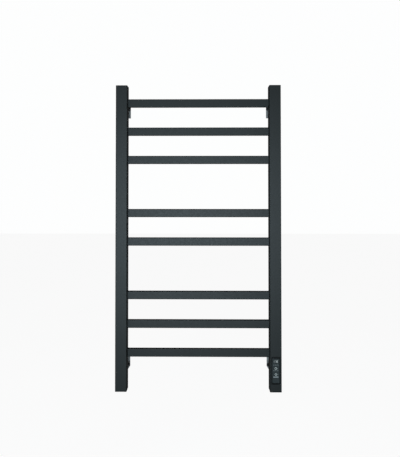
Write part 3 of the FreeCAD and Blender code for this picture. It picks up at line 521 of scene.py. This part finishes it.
def add_cap_marks():
    """The moulding's small gate ring on the outer face of each end cap."""
    ring = (
        (1.6 * MM, -0.3 * MM),
        (1.6 * MM, 0.05 * MM),
        (1.4 * MM, 0.15 * MM),
        (1.0 * MM, 0.15 * MM),
        (0.8 * MM, -0.1 * MM),
        (0, -0.1 * MM),
    )
    for side in ("left", "right"):
        for end, up in (("top", 1), ("bottom", -1)):
            name = f"{side}_{end}_cap"
            low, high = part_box(name)
            middle = (low + high) / 2
            face = high.z if up > 0 else low.z
            solid = bmesh.new()
            turned(solid, ring, (middle.x, middle.y, face), (0, 0, up), 32)
            add_piece(name + "_gate", solid, "black_plastic")


# ---------------------------------------------------------------- screws


def socket_screw(solid, head_top, direction, head_radius, head_length, shank_radius, shank_length, socket):
    """Adds a knurled socket-head screw.

    head_top is the middle of the head's outer face, and socket is measured across its flats.
    """
    rim = knurled(head_radius, 0.12 * MM, 24)
    tip_chamfer = 0.4 * MM
    tip = -head_length - shank_length
    turned(solid, (
        (0, tip),
        (shank_radius - tip_chamfer, tip),
        (shank_radius, tip + tip_chamfer),
        (shank_radius, -head_length),
        (head_radius - 0.3 * MM, -head_length),
        (rim, -head_length + 0.3 * MM),
        (rim, -0.7 * MM),
        (head_radius - 0.15 * MM, -0.6 * MM),
        (head_radius - 0.6 * MM, 0.0),
        (hexagonal(socket + 0.4 * MM), 0.0),
        (hexagonal(socket), -0.2 * MM),
        (hexagonal(socket), -0.5 * head_length),
        (0, -0.6 * head_length),
    ), head_top, direction)


def cross_screw(solid, head_top, direction, head_radius, dome, edge, arm, shank_radius, reach):
    """Adds a cross-recessed screw: a pan head with a dome, or a sunk one that tapers to the shank.

    edge is how deep the head goes, arm how far the cross reaches, and reach the whole length.
    """
    arm_width = arm * math.tan(math.radians(15))
    recess_depth = arm * 0.8
    tip_chamfer = 0.3 * MM
    if dome:
        head = [(head_radius, -edge), (head_radius, -dome), (head_radius * 0.85, -dome * 0.3)]
    else:
        head = [(head_radius, 0)]
    turned(solid, (
        (0, -reach),
        (shank_radius - tip_chamfer, -reach),
        (shank_radius, -reach + tip_chamfer),
        (shank_radius, -edge),
        *head,
        (arm * 1.1, 0),
        (crossed(arm, arm_width), -0.02 * MM),
        (crossed(arm * 0.55, arm_width * 0.7), -recess_depth),
        (0, -recess_depth),
    ), head_top, direction)


def add_lock_screws():
    """Knurled socket-head screws through the inboard sides of the bracket sockets."""
    head_radius = 4 * MM
    head_length = 6 * MM
    shank_radius = 2.5 * MM
    shank_length = 7.5 * MM
    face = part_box("lock_screws")[1].x - head_length - shank_length
    solid = bmesh.new()
    for corner in CORNERS:
        middle = centre_of("post_socket_" + corner)
        inward = 1 if middle.x < 0 else -1
        head_top = (-inward * face, middle.y, middle.z)
        socket_screw(
            solid, head_top, (inward, 0, 0), head_radius, head_length, shank_radius, shank_length, 3 * MM
        )
    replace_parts(add_piece("lock_screw_set", solid, "black_steel"), "lock_screws")


def add_back_screws(node, piece_name, places, head_radius, dome, edge, arm, shank_radius):
    """Cross-recessed screws in place of a node, all with their heads at its box's back."""
    low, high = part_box(node)
    reach = high.y - low.y
    solid = bmesh.new()
    for x, z in places:
        head_top = (x, high.y, z)
        cross_screw(solid, head_top, (0, 1, 0), head_radius, dome, edge, arm, shank_radius, reach)
    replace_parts(add_piece(piece_name, solid, "zinc_steel"), node)


def add_cross_screws():
    """The sunk bar screws behind the wall plates and the pan-head screws in the right post's back."""
    plates = [centre_of("wall_plate_" + corner) for corner in CORNERS]
    places = [(plate.x, plate.z) for plate in plates]
    add_back_screws(
        "standoff_screws", "bar_screw_set", places,
        head_radius=4.5 * MM, dome=0, edge=2 * MM, arm=2.4 * MM, shank_radius=2.5 * MM,
    )

    head_radius = 3 * MM
    low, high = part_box("housing_screws")
    x = (low.x + high.x) / 2
    places = [(x, low.z + head_radius), (x, high.z - head_radius)]
    add_back_screws(
        "housing_screws", "housing_screws_set", places,
        head_radius=head_radius, dome=0.9 * MM, edge=1.8 * MM, arm=1.7 * MM, shank_radius=1.5 * MM,
    )

    middle = centre_of("earth_screw")
    places = [(middle.x, middle.z)]
    add_back_screws(
        "earth_screw", "earth_screw_set", places,
        head_radius=3.5 * MM, dome=0.9 * MM, edge=2.2 * MM, arm=1.7 * MM, shank_radius=2 * MM,
    )


# ---------------------------------------------------------------- control unit

PRINT_THICK = 0.12 * MM


def clock_icon(solid, x, z, front):
    """A ring with two hands."""
    arc_mark(solid, x, z, 2.9 * MM, 3.8 * MM, front, PRINT_THICK)
    stroke_mark(solid, (x, z), (x, z + 2.1 * MM), 0.8 * MM, front, PRINT_THICK)
    stroke_mark(solid, (x + 0.5 * MM, z), (x + 1.7 * MM, z), 0.8 * MM, front, PRINT_THICK)


def power_icon(solid, x, z, front):
    """A ring open at the top with a bar in the opening."""
    arc_mark(solid, x, z, 2.7 * MM, 3.6 * MM, front, PRINT_THICK, 125, 415)
    stroke_mark(solid, (x, z + 0.7 * MM), (x, z + 3.6 * MM), 0.9 * MM, front, PRINT_THICK)


def add_button_icons():
    """The printed icon on each button, which moves with it; its ink carries a painted glow."""
    for name, icon in (("timer", clock_icon), ("power", power_icon)):
        low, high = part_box(name + "_button")
        solid = bmesh.new()
        icon(solid, (low.x + high.x) / 2, (low.z + high.z) / 2, low.y - PRINT_THICK * 0.6)
        add_piece(name + "_icon", solid, "print_grey", name + "_push")


# each stroke from one corner of the digit to another, in half widths and quarter heights
DIGIT_STROKES = (
    ((-1, 2), (1, 2)),
    ((-1, 0), (1, 0)),
    ((-1, -2), (1, -2)),
    ((-1, 2), (-1, 0)),
    ((1, 2), (1, 0)),
    ((-1, 0), (-1, -2)),
    ((1, 0), (1, -2)),
)


def add_digits():
    """Two seven-stroke digits on the face of the digit block: the left one idle, with a faint painted
    glow, the right one lit.
    """
    low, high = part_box("display_module")
    middle = (low + high) / 2
    stroke = 0.9 * MM
    gap = 0.5 * MM
    half_width = (4.6 * MM - stroke) / 2
    quarter_height = (6.4 * MM - stroke) / 4
    half_spacing = 3.6 * MM
    front = low.y - PRINT_THICK
    for name, side in (("idle", -1), ("lit", 1)):
        centre = Vector((middle.x + side * half_spacing, middle.z))
        solid = bmesh.new()
        for corners in DIGIT_STROKES:
            start, end = (centre + Vector((x * half_width, z * quarter_height)) for x, z in corners)
            inset = (end - start).normalized() * gap
            stroke_mark(solid, start + inset, end - inset, stroke, front, PRINT_THICK * 1.5)
        add_piece("digit_" + name, solid, "digit_" + name)


# ---------------------------------------------------------------- stage

CAMERA_DISTANCE = 1.515
CAMERA_SIDE = 0.009
CAMERA_RISE = 0.6045
CAMERA_TILT = math.radians(91.09)
CAMERA_TURN = math.radians(0.6)
LENS = 39.39
LENS_SHIFT = (0.0089, -0.1026)
SENSOR_WIDTH = 36
FLOOR_LEVEL = cad_low.z - 0.55
FLOOR_REACH = 12


def add_camera():
    """A camera square on to the rack, a little above its middle, with the frame moved by lens shift."""
    data = bpy.data.cameras.new("camera")
    data.lens = LENS
    data.sensor_width = SENSOR_WIDTH
    data.shift_x, data.shift_y = LENS_SHIFT
    data.dof.use_dof = False
    camera = bpy.data.objects.new("camera", data)
    camera.location = (CAMERA_SIDE, cad_low.y - CAMERA_DISTANCE, cad_low.z + CAMERA_RISE)
    camera.rotation_euler = (CAMERA_TILT, 0, CAMERA_TURN)
    scene.collection.objects.link(camera)
    scene.camera = camera


def add_floor():
    """A pale floor far below the rack. It glows a little, so that it stays white, and lights nothing."""
    mesh = bpy.data.meshes.new("floor")
    sides = ((-1, -1), (1, -1), (1, 1), (-1, 1))
    corners = [(x * FLOOR_REACH, y * FLOOR_REACH, FLOOR_LEVEL) for x, y in sides]
    mesh.from_pydata(corners, [], [(0, 1, 2, 3)])
    floor = bpy.data.objects.new("floor", mesh)
    paint = Material("floor_paint", Emission_Strength=0.93, Specular_IOR_Level=0.0)
    paint.shader.inputs["Emission Color"].default_value = (1, 1, 1, 1)
    clouds = paint.ranged(paint.noise(0.8, 2), 0, 1)
    paint.colour(paint.mixed(clouds, (0.17, 0.17, 0.17), (0.2, 0.2, 0.2)))
    paint.roughness(paint.ranged(paint.noise(0.4, 2), 0.7, 0.8))
    mesh.materials.append(paint.material)
    scene.collection.objects.link(floor)
    floor.visible_diffuse = False
    floor.visible_glossy = False


def background(tree, colour, strength):
    """A background node of that colour and strength."""
    node = tree.nodes.new("ShaderNodeBackground")
    node.inputs["Color"].default_value = (*colour, 1)
    node.inputs["Strength"].default_value = strength
    return node.outputs["Background"]


def add_world():
    """White to the camera and much dimmer as a light, so that the softboxes shape the rack."""
    world = bpy.data.worlds.new("studio")
    world.use_nodes = True
    tree = world.node_tree
    tree.nodes.clear()
    output = tree.nodes.new("ShaderNodeOutputWorld")
    seen = background(tree, (0.985, 0.99, 0.99), 1.0)
    lighting = background(tree, (0.97, 0.99, 1.0), 0.08)
    path = tree.nodes.new("ShaderNodeLightPath")
    chosen = tree.nodes.new("ShaderNodeMixShader")
    tree.links.new(path.outputs["Is Camera Ray"], chosen.inputs[0])
    tree.links.new(lighting, chosen.inputs[1])
    tree.links.new(seen, chosen.inputs[2])
    tree.links.new(chosen.outputs[0], output.inputs["Surface"])
    scene.world = world


def add_softbox(name, place, width, height, power, colour=(1, 1, 1)):
    """A rectangular light that faces the rack's middle and isn't seen itself."""
    data = bpy.data.lights.new(name, "AREA")
    data.shape = "RECTANGLE"
    data.size = width
    data.size_y = height
    data.energy = power
    data.color = colour
    light = bpy.data.objects.new(name, data)
    light.location = place
    light.rotation_euler = (-Vector(place)).to_track_quat("-Z", "Y").to_euler()
    light.visible_camera = False
    scene.collection.objects.link(light)


# ---------------------------------------------------------------- assembly

dress_cad_nodes()
add_rung_welds()
add_socket_welds()
add_cap_marks()
add_lock_screws()
add_cross_screws()
add_button_icons()
add_digits()

add_camera()
add_floor()
add_world()
add_softbox("key", (-0.14, -2.7, -0.12), width=1.1, height=0.8, power=35, colour=(0.74, 0.91, 1.0))
for name, side in (("left_fill", -1), ("right_fill", 1)):
    add_softbox(name, (side * 2.8, 0.2, 0.4), width=1.6, height=2.0, power=4)
scene.view_settings.view_transform = "Standard"
